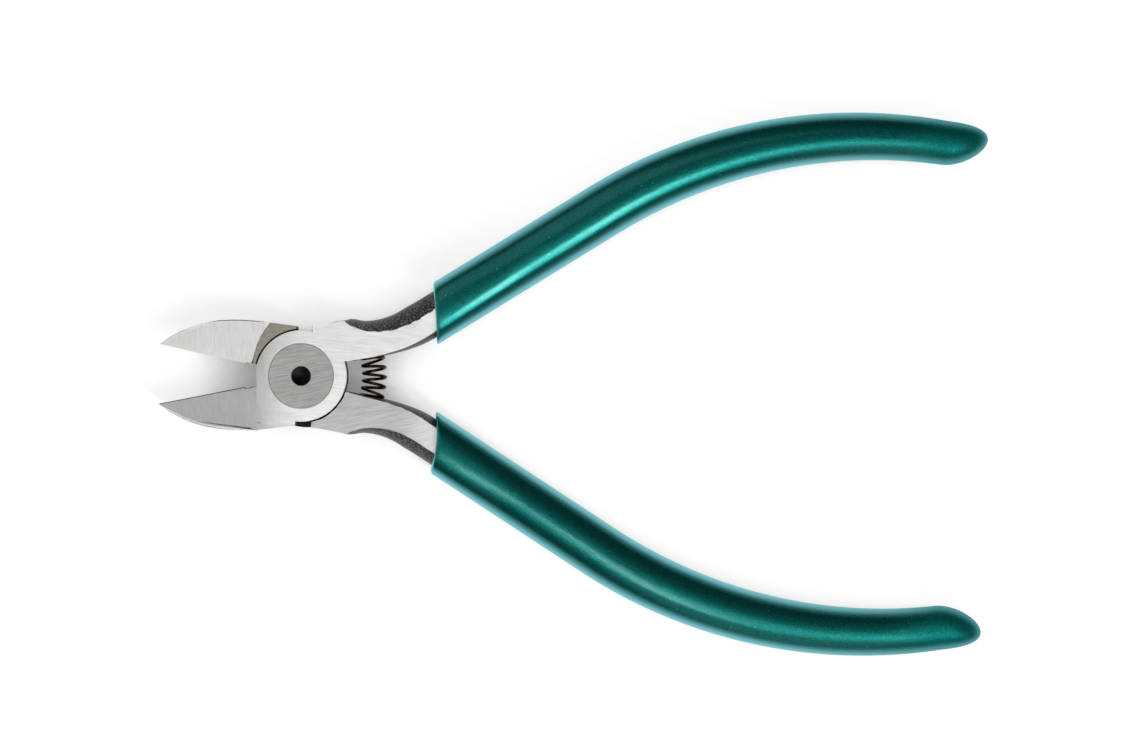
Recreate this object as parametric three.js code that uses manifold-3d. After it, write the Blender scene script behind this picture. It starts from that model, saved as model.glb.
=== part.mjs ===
// Electronics side cutters: two lapped steel halves on one flush rivet, a coil spring between the tangs
// that opens the jaws again, and a soft sleeve on each handle. Millimetres, +Z up. The origin is on the
// pivot axis at the underside of the head. +X runs to the handles, and the front half's handle lies on the
// +Y side.

import * as THREE from "three";
import { mergeVertices } from "three/addons/utils/BufferGeometryUtils.js";
import Module from "manifold-3d";

const wasm = await Module();
wasm.setup();

const degrees = THREE.MathUtils.degToRad;

// Head and lap joint
const HEAD_THICKNESS = 6.4;
const DISC_RADIUS = 6.7;
const DISC_CLEARANCE = 0.2; // round each lap disc, the dark line on the head
const LAP_GAP = 0.1; // between the two lap faces
const SHOULDER_STEP = 0.8; // height of the tang's shoulder over the disc

// Jaws
const JAW_OPENING = degrees(23.6); // between the cutting edges at rest
const JAW_LENGTH = 21.45; // from the pivot to the tip
const EDGE_START = 8.5; // where the cutting edge begins, from the pivot
const THROAT_RELIEF = 0.25; // how far the edge steps back towards the pivot
const TIP_ANGLE = degrees(51); // between the edge and the jaw's back at the tip
const TIP_SWEEP = 8.6; // how long the back keeps the tip's direction
const BACK_ANGLE = degrees(5.6); // between the edge and the jaw's back at the jaw's end
const BACK_SWEEP = 5.6; // how long the back keeps that direction
const JAW_END_ANGLE = degrees(96.3); // where the jaw ends on the disc
const JAW_END_STEP = 0.63; // the jaw's height over the disc at its end
const EDGE_LAND = 0.15; // narrow upright strip that backs the cutting edge
const BEVEL_ANGLE = degrees(35); // of the bevel under the edge, from upright
const GROUND_STEP = 0.65; // how far the ground jaw face lies under the head
const GROUND_FALL = degrees(6); // of the ground face, towards the tip
const GROUND_LEAN = degrees(4); // of the ground face, towards the edge
const GROUND_RUNOUT = 3; // width of the slope from the head down to the front jaw's ground face
const BACK_START = 1; // where the jaw's underside begins to rise, beyond the relief arc
const BACK_RISE = degrees(8); // of the jaw's underside, towards the tip
const RELIEF_RADIUS = 12.35; // of the arc where the grinding of the jaws ends
const RELIEF_CENTRE = 5; // of that arc, from the pivot
const CRESCENT_DEPTH = 0.35; // of the unground crescent beside the disc

// Heel of the rear half's lap disc, which stops the opening in a pocket of the front jaw
const HEEL_STEP = 0.65; // its height over the disc at its stopping end
const HEEL_RISE = 0.35; // how much higher it is beside the tang
const HEEL_ANGLE = degrees(102); // where it ends, counted like the jaw's end
const HEEL_WIDTH = degrees(27); // from there to the tang
const HEEL_TRAVEL = degrees(11.2);
const HEEL_CLEARANCE = 0.15;

// Pivot rivet
const RIVET_HEAD_RADIUS = 4.75;
const RIVET_HEAD_DEPTH = 1.6;
const RIVET_SHANK_RADIUS = 3.1;
const RIVET_TAIL_RADIUS = 3.9;
const RIVET_TAIL_DEPTH = 0.9;
const RIVET_CLEARANCE = 0.06;
const DIMPLE_RADIUS = 1.43;
const DIMPLE_DEPTH = 1.8;
const DIMPLE_POINT = 0.7; // of the drill's cone below it

// Handle axis: a lead out of the head, a bend outwards, a straight run and a long bend back
const HANDLE_X = 1.3;
const HANDLE_Y = 4.92;
const LEAD_ANGLE = degrees(4);
const LEAD_LENGTH = 6.86;
const BEND_RADIUS = 22;
const HANDLE_ANGLE = degrees(32.45);
const STRAIGHT_LENGTH = 30.15;
const TAIL_RADIUS = 73.5;
const TAIL_ANGLE = degrees(-13.1);

// Tang between the head and the sleeve: distance along the handle axis, width to the outer and to the inner
// side, and how far the ground face's edge stands in from each side
const TANG_SHAPE = [
  { at: 0.4, outer: DISC_RADIUS + SHOULDER_STEP - HANDLE_Y, inner: 2, outerFlank: 0, innerFlank: 0 },
  { at: 5.1, outer: 3, inner: 3.1, outerFlank: 0, innerFlank: 0 },
  { at: 6, outer: 3.18, inner: 3.02, outerFlank: 0.65, innerFlank: 0.05 },
  { at: 8.3, outer: 2.71, inner: 2.76, outerFlank: 1.1, innerFlank: 0.1 },
  { at: 10.7, outer: 2.6, inner: 2.8, outerFlank: 1.48, innerFlank: 0.3 },
  { at: 13.1, outer: 2.7, inner: 2.9, outerFlank: 1.85, innerFlank: 0.45 },
  { at: 16.1, outer: 2.99, inner: 3.05, outerFlank: 2.15, innerFlank: 0.78 },
];
const OUTER_FLANK_SKEW = 0.38; // how much wider the outer flank is above the middle than on average
const INNER_FLANK_SKEW = -0.1; // the same for the inner flank, which is narrower there
const FLANK_START = degrees(35); // where the rounded side meets the ground face
const COVERED_FLANK = 1.5; // the same inside the sleeve
const TANG_TAIL_THICKNESS = 5.6;

// Grip sleeves
const GRIP_START = 19.05; // along the handle axis, at the middle of the mouth
const GRIP_SLANT = 0.52; // how far the mouth lies back, for each millimetre outwards
const GRIP_SLANT_LENGTH = 12; // along which the slant fades
const GRIP_MOUTH_WIDTH = 8.1;
const GRIP_TAIL_WIDTH = 6.5;
const GRIP_TAPER_POWER = 1.5; // how late along the bend the sleeve narrows
const GRIP_WALL = 0.9;
const GRIP_CLEARANCE = 0.2;
const GRIP_LIP = 0.3; // rounding of the mouth's rim
const GRIP_ROUNDNESS = 2.4; // 2 is an ellipse
const GRIP_NOSE_LENGTH = 6.2;
const GRIP_NOSE_SHIFT = 1.4; // of the nose, outwards
const GRIP_NOSE_POWER = 1.7; // how late along the nose it shifts

// Return spring, bent round the pivot, with its ends in sockets in the tangs
const SPRING_ARC_RADIUS = 10.65;
const SPRING_DIAMETER = 3.75;
const SPRING_WIRE = 0.45;
const SPRING_TURNS = 5.5;
const SPRING_END_BEND = 0.45; // radius of the bend from the last turn to the straight end
const SPRING_SEAT_GAP = 0.3;
const SOCKET_DEPTH = 1.8;
const SOCKET_CLEARANCE = 0.3;

// Fineness of round shapes
const ROUND_STEPS = 64;
const BACK_STEPS = 12;
const FLANK_STEPS = 4;
const RING_POINTS = 4 * FLANK_STEPS + 4;
const SPRING_STEPS = 8;
const SPRING_SIDES = 5;
const END_BEND_STEPS = 3;
const NOSE_STEPS = 6;
const GRIP_STEP = 4.5;
const TANG_STEP = 5;
const TANG_VISIBLE_STEP = 0.8;
const GAP_SAMPLES = 6; // along each step of the spring
const MERGE_DISTANCE = 1e-5; // within which points are one

// How far cutting tools reach past the piece that they cut
const CUT_MARGIN = 1;
const CUT_REACH = 3 * JAW_LENGTH;

const MID = HEAD_THICKNESS / 2;
const RELIEF_EDGE = RELIEF_RADIUS - RELIEF_CENTRE;
const TURN_OVER = new THREE.Matrix4().makeRotationX(Math.PI).setPosition(0, 0, HEAD_THICKNESS);
const UP = new THREE.Vector3(0, 0, 1);

const HANDLE_RUNS = [
  { length: LEAD_LENGTH, turn: 0 },
  { length: BEND_RADIUS * (HANDLE_ANGLE - LEAD_ANGLE), turn: HANDLE_ANGLE - LEAD_ANGLE },
  { length: STRAIGHT_LENGTH, turn: 0 },
  { length: TAIL_RADIUS * (HANDLE_ANGLE - TAIL_ANGLE), turn: TAIL_ANGLE - HANDLE_ANGLE },
];
const HANDLE_LENGTH = HANDLE_RUNS.reduce((sum, run) => sum + run.length, 0);
const TAIL_START = HANDLE_LENGTH - HANDLE_RUNS.at(-1).length;
const NOSE_START = HANDLE_LENGTH - GRIP_NOSE_LENGTH;
const TANG_END = NOSE_START;

// Solids and meshes

function toSolid(geometry) {
  geometry.deleteAttribute("normal");
  geometry.deleteAttribute("uv");
  const merged = mergeVertices(geometry, MERGE_DISTANCE);
  return new wasm.Manifold(
    new wasm.Mesh({
      numProp: 3,
      vertProperties: merged.attributes.position.array,
      triVerts: new Uint32Array(merged.index.array),
    }),
  );
}

function toGeometry(solid) {
  const mesh = solid.getMesh();
  const geometry = new THREE.BufferGeometry();
  geometry.setAttribute("position", new THREE.BufferAttribute(mesh.vertProperties, 3));
  geometry.setIndex(new THREE.BufferAttribute(mesh.triVerts, 1));
  geometry.computeVertexNormals();
  return geometry;
}

function drum(radius, low, high, x = 0, y = 0, lowRadius = radius) {
  const geometry = new THREE.CylinderGeometry(radius, lowRadius, high - low, ROUND_STEPS);
  return geometry.rotateX(Math.PI / 2).translate(x, y, (low + high) / 2);
}

function plate(shape, low, high) {
  const geometry = new THREE.ExtrudeGeometry(shape, {
    depth: high - low,
    bevelEnabled: false,
    curveSegments: BACK_STEPS,
  });
  return geometry.translate(0, 0, low);
}

// A block that fills the side of a plane to which the normal points
function halfSpace(point, normal) {
  const block = new THREE.BoxGeometry(CUT_REACH, CUT_REACH, CUT_REACH).translate(0, 0, CUT_REACH / 2);
  block.applyQuaternion(new THREE.Quaternion().setFromUnitVectors(UP, normal.clone().normalize()));
  return block.translate(point.x, point.y, point.z);
}

// A slice of a disc about the pivot, whose radius changes evenly from one end of its arc to the other
function sector(from, to, fromRadius, toRadius) {
  const arc = Array.from({ length: BACK_STEPS + 1 }, (_, i) => {
    const angle = blend(from, to, i / BACK_STEPS);
    const radius = blend(fromRadius, toRadius, i / BACK_STEPS);
    return new THREE.Vector2(radius * Math.cos(angle), radius * Math.sin(angle));
  });
  return new THREE.Shape([new THREE.Vector2(), ...arc]);
}

// Joins rings of points, all in the same order, into one closed body with a fan on the first and last ring
function loft(rings) {
  const count = rings[0].length;
  const points = rings.flat();
  const total = (ring) => ring.reduce((sum, point) => sum.add(point), new THREE.Vector3());
  const middle = (ring) => total(ring).divideScalar(count);
  const first = points.push(middle(rings[0])) - 1;
  const last = points.push(middle(rings.at(-1))) - 1;
  const index = [];
  for (let i = 0; i < count; i += 1) {
    const next = (i + 1) % count;
    for (let ring = 0; ring < rings.length - 1; ring += 1) {
      const [a, b] = [ring * count + i, ring * count + next];
      index.push(a, a + count, b, b, a + count, b + count);
    }
    const end = (rings.length - 1) * count;
    index.push(first, i, next, last, end + next, end + i);
  }
  const geometry = new THREE.BufferGeometry().setFromPoints(points);
  geometry.setIndex(index);
  geometry.computeVertexNormals();
  return geometry;
}

// Distances from one to another in even steps no longer than the step
function distances(from, to, step) {
  const count = Math.max(1, Math.ceil((to - from) / step));
  return Array.from({ length: count + 1 }, (_, i) => from + ((to - from) * i) / count);
}

const smooth = (value, from, to) => THREE.MathUtils.smoothstep(value, from, to);
const blend = THREE.MathUtils.lerp;

// Handle axis

function handleAxis(distance) {
  const point = new THREE.Vector2(HANDLE_X, HANDLE_Y);
  let heading = LEAD_ANGLE;
  let left = distance;
  for (const run of HANDLE_RUNS) {
    const share = THREE.MathUtils.clamp(left / run.length, 0, 1);
    const swing = (run.turn * share) / 2;
    const chord = run.length * share * (swing === 0 ? 1 : Math.sin(swing) / swing);
    point.x += chord * Math.cos(heading + swing);
    point.y += chord * Math.sin(heading + swing);
    heading += 2 * swing;
    left -= run.length * share;
  }
  return { point, heading };
}

// A point beside the handle axis: side is positive outwards, height is from the middle of the thickness
function besideHandle(distance, side, height) {
  const { point, heading } = handleAxis(distance);
  const x = point.x - side * Math.sin(heading);
  const y = point.y + side * Math.cos(heading);
  return new THREE.Vector3(x, y, MID + height);
}

// Sleeve section, and the tang's section, which fits it from the mouth on

function gripHalfWidth(distance) {
  const share = THREE.MathUtils.clamp((distance - TAIL_START) / (NOSE_START - TAIL_START), 0, 1);
  return blend(GRIP_MOUTH_WIDTH, GRIP_TAIL_WIDTH, share ** GRIP_TAPER_POWER) / 2;
}

function tangHalfThickness(distance) {
  return blend(HEAD_THICKNESS, TANG_TAIL_THICKNESS, smooth(distance, GRIP_START, TANG_END)) / 2;
}

// How fast one measure of the tang changes at a station: level where it turns, so that it never overshoots
function stationSlope(stations, i, key) {
  if (i === 0 || i === stations.length - 1) return 0;
  const rate = (low, high) => (high[key] - low[key]) / (high.at - low.at);
  const before = rate(stations[i - 1], stations[i]);
  const after = rate(stations[i], stations[i + 1]);
  return before * after > 0 ? (2 * before * after) / (before + after) : 0;
}

// The tang's measures run from station to station in smooth curves
function tangSection(distance) {
  const covered = gripHalfWidth(distance) - GRIP_WALL - GRIP_CLEARANCE;
  const inside = { outer: covered, inner: covered, outerFlank: COVERED_FLANK, innerFlank: COVERED_FLANK };
  const stations = [...TANG_SHAPE, { at: GRIP_START + GRIP_SLANT_LENGTH, ...inside }];
  const after = stations.findIndex((station) => station.at > distance);
  if (after < 0) return inside;
  const [low, high] = [stations[after - 1], stations[after]];
  const span = high.at - low.at;
  const share = (distance - low.at) / span;
  const curve = (key) => {
    const leaving = (1 - share) * stationSlope(stations, after - 1, key);
    const arriving = share * stationSlope(stations, after, key);
    const eased = blend(low[key], high[key], smooth(share, 0, 1));
    return eased + span * share * (1 - share) * (leaving - arriving);
  };
  return {
    outer: curve("outer"),
    inner: curve("inner"),
    outerFlank: curve("outerFlank"),
    innerFlank: curve("innerFlank"),
  };
}

// Side and height of one point of the tang's section, counted from the middle of the top face over the
// outer side
function tangPoint(i, distance, grow = 0) {
  const section = tangSection(distance);
  const thickness = tangHalfThickness(distance) + grow;
  const half = RING_POINTS / 2;
  const outwards = i <= half;
  const step = outwards ? i : RING_POINTS - i;
  const above = step < half / 2 ? 1 : -1;
  const skewed = (flank, skew) => flank + above * THREE.MathUtils.clamp(skew, -flank, flank);
  const outerFlank = skewed(section.outerFlank, OUTER_FLANK_SKEW);
  const innerFlank = skewed(section.innerFlank, INNER_FLANK_SKEW);
  if (step % half === 0) {
    const centre = (section.outer - outerFlank - section.inner + innerFlank) / 2;
    return { side: centre, height: above * thickness };
  }
  const turn = blend(FLANK_START, Math.PI - FLANK_START, (step - 1) / (half - 2));
  const bulge = (Math.sin(turn) - Math.sin(FLANK_START)) / (1 - Math.sin(FLANK_START));
  const width = (outwards ? section.outer : section.inner) + grow;
  const side = width - (outwards ? outerFlank : innerFlank) * (1 - bulge);
  return { side: outwards ? side : -side, height: (thickness * Math.cos(turn)) / Math.cos(FLANK_START) };
}

function tangRing(distance) {
  return Array.from({ length: RING_POINTS }, (_, i) => {
    const { side, height } = tangPoint(i, distance);
    return besideHandle(distance, side, height);
  });
}

// The mouth of the sleeve is cut on the slant, and the slant fades along the sleeve
function slanted(distance, side) {
  return distance + GRIP_SLANT * side * (1 - smooth(distance, GRIP_START, GRIP_START + GRIP_SLANT_LENGTH));
}

function cavityRing(distance) {
  return Array.from({ length: RING_POINTS }, (_, i) => {
    const along = slanted(distance, tangPoint(i, distance, GRIP_CLEARANCE).side);
    const { side, height } = tangPoint(i, along, GRIP_CLEARANCE);
    return besideHandle(along, side, height);
  });
}

function gripRing(distance, inset = 0) {
  const into = Math.max(0, distance - NOSE_START) / GRIP_NOSE_LENGTH;
  const round = Math.sqrt(1 - into ** 2);
  const width = (gripHalfWidth(distance) - inset) * round;
  const height = (tangHalfThickness(distance) + GRIP_CLEARANCE + GRIP_WALL - inset) * round;
  const power = 2 / GRIP_ROUNDNESS;
  return Array.from({ length: RING_POINTS }, (_, i) => {
    const turn = (i / RING_POINTS) * 2 * Math.PI;
    const across = Math.sign(Math.sin(turn)) * Math.abs(Math.sin(turn)) ** power * width;
    const up = Math.sign(Math.cos(turn)) * Math.abs(Math.cos(turn)) ** power * height;
    return besideHandle(slanted(distance, across), across + GRIP_NOSE_SHIFT * into ** GRIP_NOSE_POWER, up);
  });
}

// Halves

// The jaw's outline in the front half's place, with the edge's direction and the jaw's outward direction
function jawOutline() {
  const along = new THREE.Vector2(-Math.cos(JAW_OPENING / 2), -Math.sin(JAW_OPENING / 2));
  const out = new THREE.Vector2(-along.y, along.x);
  const place = (u, v) => along.clone().multiplyScalar(u).addScaledVector(out, v);
  const endRadius = DISC_RADIUS + JAW_END_STEP;
  const end = new THREE.Vector2(Math.cos(JAW_END_ANGLE), -Math.sin(JAW_END_ANGLE)).multiplyScalar(endRadius);
  const tip = place(JAW_LENGTH, 0);
  const fromTip = place(JAW_LENGTH - TIP_SWEEP * Math.cos(TIP_ANGLE), TIP_SWEEP * Math.sin(TIP_ANGLE));
  const toEnd = place(
    end.dot(along) + BACK_SWEEP * Math.cos(BACK_ANGLE),
    end.dot(out) - BACK_SWEEP * Math.sin(BACK_ANGLE),
  );
  const shape = new THREE.Shape();
  const start = place(0, THROAT_RELIEF);
  shape.moveTo(start.x, start.y);
  for (const point of [place(EDGE_START - THROAT_RELIEF, THROAT_RELIEF), place(EDGE_START, 0), tip]) {
    shape.lineTo(point.x, point.y);
  }
  shape.bezierCurveTo(fromTip.x, fromTip.y, toEnd.x, toEnd.y, end.x, end.y);
  shape.closePath();
  return shape;
}

// What grinding takes off a jaw: the front face, the underside and the bevel under the edge. The jaw lies on
// the +Y or the -Y side. The face and the bevel stop at the relief arc, with a slope on the front jaw's face.
function jawGrinding(sideOfY, runout) {
  const along = new THREE.Vector3(-Math.cos(JAW_OPENING / 2), sideOfY * Math.sin(JAW_OPENING / 2), 0);
  const out = new THREE.Vector3(Math.sin(JAW_OPENING / 2), sideOfY * Math.cos(JAW_OPENING / 2), 0);
  const back = along.clone().multiplyScalar(RELIEF_EDGE + BACK_START);
  const face = along.clone().multiplyScalar(RELIEF_EDGE).setZ(HEAD_THICKNESS - GROUND_STEP);
  const edge = face.clone().setZ(face.z - EDGE_LAND);
  const fall = along.clone().multiplyScalar(Math.tan(GROUND_FALL));
  const faceNormal = UP.clone().add(fall).addScaledVector(out, -Math.tan(GROUND_LEAN));
  const backNormal = along.clone().multiplyScalar(Math.tan(BACK_RISE)).sub(UP);
  const bevelNormal = UP.clone().add(fall).multiplyScalar(-Math.tan(BEVEL_ANGLE)).sub(out);
  const kept = toSolid(drum(RELIEF_RADIUS, -CUT_REACH, CUT_REACH, RELIEF_CENTRE));
  const low = face.z - CUT_MARGIN;
  const spread = (GROUND_RUNOUT * (HEAD_THICKNESS - low)) / GROUND_STEP;
  const rise = (GROUND_RUNOUT * CUT_MARGIN) / GROUND_STEP;
  const [top, foot] = [RELIEF_RADIUS - rise, RELIEF_RADIUS + spread];
  const slope = drum(top, low, HEAD_THICKNESS + CUT_MARGIN, RELIEF_CENTRE, 0, foot);
  return [
    toSolid(halfSpace(face, faceNormal)).subtract(runout ? toSolid(slope) : kept),
    toSolid(halfSpace(back, backNormal)),
    toSolid(halfSpace(edge, bevelNormal)).subtract(kept),
  ];
}

// The tang begins inside the disc, with the shoulder as its end face
function tang() {
  const ends = [...TANG_SHAPE.map((station) => station.at), GRIP_START];
  const visible = ends.slice(1).flatMap((end, i) => distances(ends[i], end, TANG_VISIBLE_STEP).slice(0, -1));
  const covered = distances(GRIP_START, TANG_END, TANG_STEP);
  return loft([...visible, ...covered].map(tangRing));
}

// Where the spring's arc enters the tang's inner wall, as an angle about the pivot
function springWallAngle() {
  let [low, high] = [TANG_SHAPE[0].at, GRIP_START];
  const wall = (distance) => besideHandle(distance, -tangSection(distance).inner, 0);
  while (high - low > MERGE_DISTANCE) {
    const middle = (low + high) / 2;
    const point = wall(middle);
    if (Math.hypot(point.x, point.y) < SPRING_ARC_RADIUS) low = middle;
    else high = middle;
  }
  const point = wall(low);
  return Math.atan2(point.y, point.x);
}

const SPRING_WALL_ANGLE = springWallAngle();

// A point on the spring's centre line, with its direction: an arc between the tangs, straight in the sockets
function springAxis(distance) {
  const bent = SPRING_ARC_RADIUS * SPRING_WALL_ANGLE;
  const onArc = THREE.MathUtils.clamp(distance, -bent, bent);
  const angle = onArc / SPRING_ARC_RADIUS;
  const out = new THREE.Vector3(Math.cos(angle), Math.sin(angle), 0);
  const along = new THREE.Vector3(-Math.sin(angle), Math.cos(angle), 0);
  const point = out.clone().multiplyScalar(SPRING_ARC_RADIUS).addScaledVector(along, distance - onArc);
  return { point: point.setZ(MID), out, along };
}

function springSocket() {
  const { point, along } = springAxis(SPRING_ARC_RADIUS * SPRING_WALL_ANGLE);
  const radius = SPRING_DIAMETER / 2 + SOCKET_CLEARANCE;
  const length = SOCKET_DEPTH + CUT_MARGIN;
  const socket = new THREE.CylinderGeometry(radius, radius, length, ROUND_STEPS / 2);
  socket.translate(0, length / 2 - CUT_MARGIN, 0);
  socket.applyQuaternion(new THREE.Quaternion().setFromUnitVectors(new THREE.Vector3(0, 1, 0), along));
  return socket.translate(point.x, point.y, point.z);
}

// One half. The rear half is made in the front half's place and turned over about the X axis, apart from its
// jaw's grinding and its rivet bores.
function half(rear) {
  const solid = (geometry) => toSolid(rear ? geometry.applyMatrix4(TURN_OVER) : geometry);
  const lap = MID + LAP_GAP / 2;
  const recess = DISC_RADIUS + DISC_CLEARANCE;
  const grinding = jawGrinding(rear ? 1 : -1, !rear);
  const jaw = grinding.reduce(
    (sum, cut) => sum.subtract(cut),
    solid(plate(jawOutline(), 0, HEAD_THICKNESS)),
  );
  const crescent = toSolid(drum(RELIEF_RADIUS, -CUT_MARGIN, CRESCENT_DEPTH, RELIEF_CENTRE));
  const jawSide = toSolid(halfSpace(new THREE.Vector3(), new THREE.Vector3(-1, 0, 0)));
  const body = jaw
    .subtract(solid(toGeometry(crescent.intersect(jawSide))))
    .add(solid(tang()))
    .subtract(solid(drum(recess, -CUT_MARGIN, lap)))
    .add(solid(drum(DISC_RADIUS, lap, HEAD_THICKNESS)))
    .subtract(solid(springSocket()));
  const heelStop = DISC_RADIUS + HEEL_STEP;
  const heelTop = heelStop + HEEL_RISE;
  if (rear) {
    const heel = sector(HEEL_ANGLE - HEEL_WIDTH, HEEL_ANGLE, heelTop, heelStop);
    return body.add(solid(plate(heel, lap, HEAD_THICKNESS))).subtract(toSolid(tailBore()));
  }
  const pocketRadius = heelTop + HEEL_CLEARANCE;
  const pocket = sector(-HEEL_ANGLE - HEEL_TRAVEL, HEEL_WIDTH - HEEL_ANGLE, pocketRadius, pocketRadius);
  return body.subtract(toSolid(plate(pocket, -CUT_MARGIN, lap))).subtract(toSolid(headBore()));
}

// Rivet and its bores

function lathe(profile) {
  const points = profile.map(([radius, z]) => new THREE.Vector2(radius, z));
  return new THREE.LatheGeometry(points, ROUND_STEPS).rotateX(Math.PI / 2);
}

function headBore() {
  const seat = HEAD_THICKNESS - RIVET_HEAD_DEPTH - RIVET_CLEARANCE;
  return lathe([
    [0, MID - CUT_MARGIN],
    [RIVET_SHANK_RADIUS + RIVET_CLEARANCE, MID - CUT_MARGIN],
    [RIVET_SHANK_RADIUS + RIVET_CLEARANCE, seat],
    [RIVET_HEAD_RADIUS + RIVET_CLEARANCE, seat],
    [RIVET_HEAD_RADIUS + RIVET_CLEARANCE, HEAD_THICKNESS + CUT_MARGIN],
    [0, HEAD_THICKNESS + CUT_MARGIN],
  ]);
}

function tailBore() {
  return lathe([
    [0, -CUT_MARGIN],
    [RIVET_TAIL_RADIUS + RIVET_CLEARANCE, -CUT_MARGIN],
    [RIVET_TAIL_RADIUS + RIVET_CLEARANCE, RIVET_CLEARANCE],
    [RIVET_SHANK_RADIUS + RIVET_CLEARANCE, RIVET_TAIL_DEPTH + RIVET_CLEARANCE],
    [RIVET_SHANK_RADIUS + RIVET_CLEARANCE, MID + CUT_MARGIN],
    [0, MID + CUT_MARGIN],
  ]);
}

function rivet() {
  const seat = HEAD_THICKNESS - RIVET_HEAD_DEPTH;
  return lathe([
    [0, 0],
    [RIVET_TAIL_RADIUS, 0],
    [RIVET_SHANK_RADIUS, RIVET_TAIL_DEPTH],
    [RIVET_SHANK_RADIUS, seat],
    [RIVET_HEAD_RADIUS, seat],
    [RIVET_HEAD_RADIUS, HEAD_THICKNESS],
    [DIMPLE_RADIUS, HEAD_THICKNESS],
    [DIMPLE_RADIUS, HEAD_THICKNESS - DIMPLE_DEPTH],
    [0, HEAD_THICKNESS - DIMPLE_DEPTH - DIMPLE_POINT],
  ]);
}

// Sleeves

function grip(rear) {
  const cavity = distances(GRIP_START, TANG_END + GRIP_CLEARANCE, GRIP_STEP).map(cavityRing).reverse();
  const rim = gripRing(GRIP_START, GRIP_LIP);
  const length = distances(GRIP_START + GRIP_LIP, NOSE_START, GRIP_STEP);
  const nose = Array.from({ length: NOSE_STEPS - 1 }, (_, i) => {
    return NOSE_START + GRIP_NOSE_LENGTH * Math.sin(((i + 1) / NOSE_STEPS) * (Math.PI / 2));
  });
  const outside = [...length, ...nose].map((distance) => gripRing(distance));
  const geometry = loft([...cavity, rim, ...outside]);
  return rear ? geometry.applyMatrix4(TURN_OVER) : geometry;
}

// Return spring

// The wire's centre line: a straight end, a bend, the turns, a bend and a straight end
function springPath() {
  const radius = (SPRING_DIAMETER - SPRING_WIRE) / 2;
  const socketed = SOCKET_DEPTH - SPRING_SEAT_GAP - SPRING_WIRE - SPRING_END_BEND;
  const reach = SPRING_ARC_RADIUS * SPRING_WALL_ANGLE + socketed;
  const count = SPRING_TURNS * SPRING_STEPS;
  const turns = Array.from({ length: count + 1 }, (_, i) => {
    const distance = blend(-reach, reach, i / count);
    const { point, out } = springAxis(distance);
    const phase = (distance / reach) * SPRING_TURNS * Math.PI;
    return point.addScaledVector(out, radius * Math.cos(phase)).addScaledVector(UP, radius * Math.sin(phase));
  });
  const end = (sign) => {
    const { out, along } = springAxis(sign * reach);
    const phase = sign * SPRING_TURNS * Math.PI;
    const winding = out.clone().multiplyScalar(-Math.sin(phase)).addScaledVector(UP, Math.cos(phase));
    const leaving = winding.multiplyScalar(sign);
    const away = along.clone().multiplyScalar(sign);
    const last = sign > 0 ? turns.at(-1) : turns[0];
    const bend = Array.from({ length: END_BEND_STEPS }, (_, i) => {
      const angle = ((i + 1) / END_BEND_STEPS) * (Math.PI / 2);
      const sideways = SPRING_END_BEND * Math.sin(angle);
      return last
        .clone()
        .addScaledVector(leaving, sideways)
        .addScaledVector(away, SPRING_END_BEND * (1 - Math.cos(angle)));
    });
    return [...bend, bend.at(-1).clone().addScaledVector(away, SPRING_WIRE)];
  };
  return [...end(-1).reverse(), ...turns, ...end(1)];
}

function wireRings(path) {
  let normal = new THREE.Vector3(0, 0, 1);
  return path.map((point, i) => {
    const before = path[Math.max(0, i - 1)];
    const after = path[Math.min(path.length - 1, i + 1)];
    const along = after.clone().sub(before).normalize();
    normal = normal.clone().addScaledVector(along, -normal.dot(along)).normalize();
    const across = normal.clone().cross(along);
    return Array.from({ length: SPRING_SIDES }, (_, side) => {
      const turn = (side / SPRING_SIDES) * 2 * Math.PI;
      return point
        .clone()
        .addScaledVector(normal, (SPRING_WIRE / 2) * Math.cos(turn))
        .addScaledVector(across, (SPRING_WIRE / 2) * Math.sin(turn));
    });
  });
}

// The least distance between the wire's surfaces in different turns, on points along its centre line
function leastGap(path) {
  const curve = path.slice(1).flatMap((point, i) => {
    return Array.from({ length: GAP_SAMPLES }, (_, k) => path[i].clone().lerp(point, k / GAP_SAMPLES));
  });
  const apart = (SPRING_STEPS * GAP_SAMPLES) / 2;
  let least = Infinity;
  curve.forEach((point, i) => {
    curve.slice(i + apart).forEach((other) => {
      least = Math.min(least, point.distanceTo(other));
    });
  });
  return least - SPRING_WIRE;
}

// Assembly

const GROUND_STEEL = { color: 0xc9c8c4, roughness: 0.38, metalness: 1 };
const RIVET_STEEL = { color: 0x9c9c9a, roughness: 0.42, metalness: 1 };
const BLACKENED_WIRE = { color: 0x1a1412, roughness: 0.35, metalness: 1 };
const GREEN_VINYL = { color: 0x04584f, roughness: 0.42, metalness: 0 };

function piece(name, geometry, material) {
  const mesh = new THREE.Mesh(geometry, new THREE.MeshStandardMaterial(material));
  mesh.name = name;
  return mesh;
}

const springWire = springPath();
console.log(`return spring: least gap to itself ${leastGap(springWire).toFixed(2)} mm`);

const cutters = new THREE.Group();
cutters.add(
  piece("front_half", toGeometry(half(false)), GROUND_STEEL),
  piece("rear_half", toGeometry(half(true)), GROUND_STEEL),
  piece("pivot_rivet", rivet(), RIVET_STEEL),
  piece("return_spring", loft(wireRings(springWire)), BLACKENED_WIRE),
  piece("upper_grip", grip(false), GREEN_VINYL),
  piece("lower_grip", grip(true), GREEN_VINYL),
);

export default cutters;
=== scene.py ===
"""Looks of electronics side cutters: two steel halves, a rivet, a coil spring and vinyl sleeves."""

import logging
import math
from dataclasses import dataclass, replace
from enum import Enum, IntEnum
from typing import Sequence

import bmesh
import bpy
from mathutils import Matrix, Vector


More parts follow.
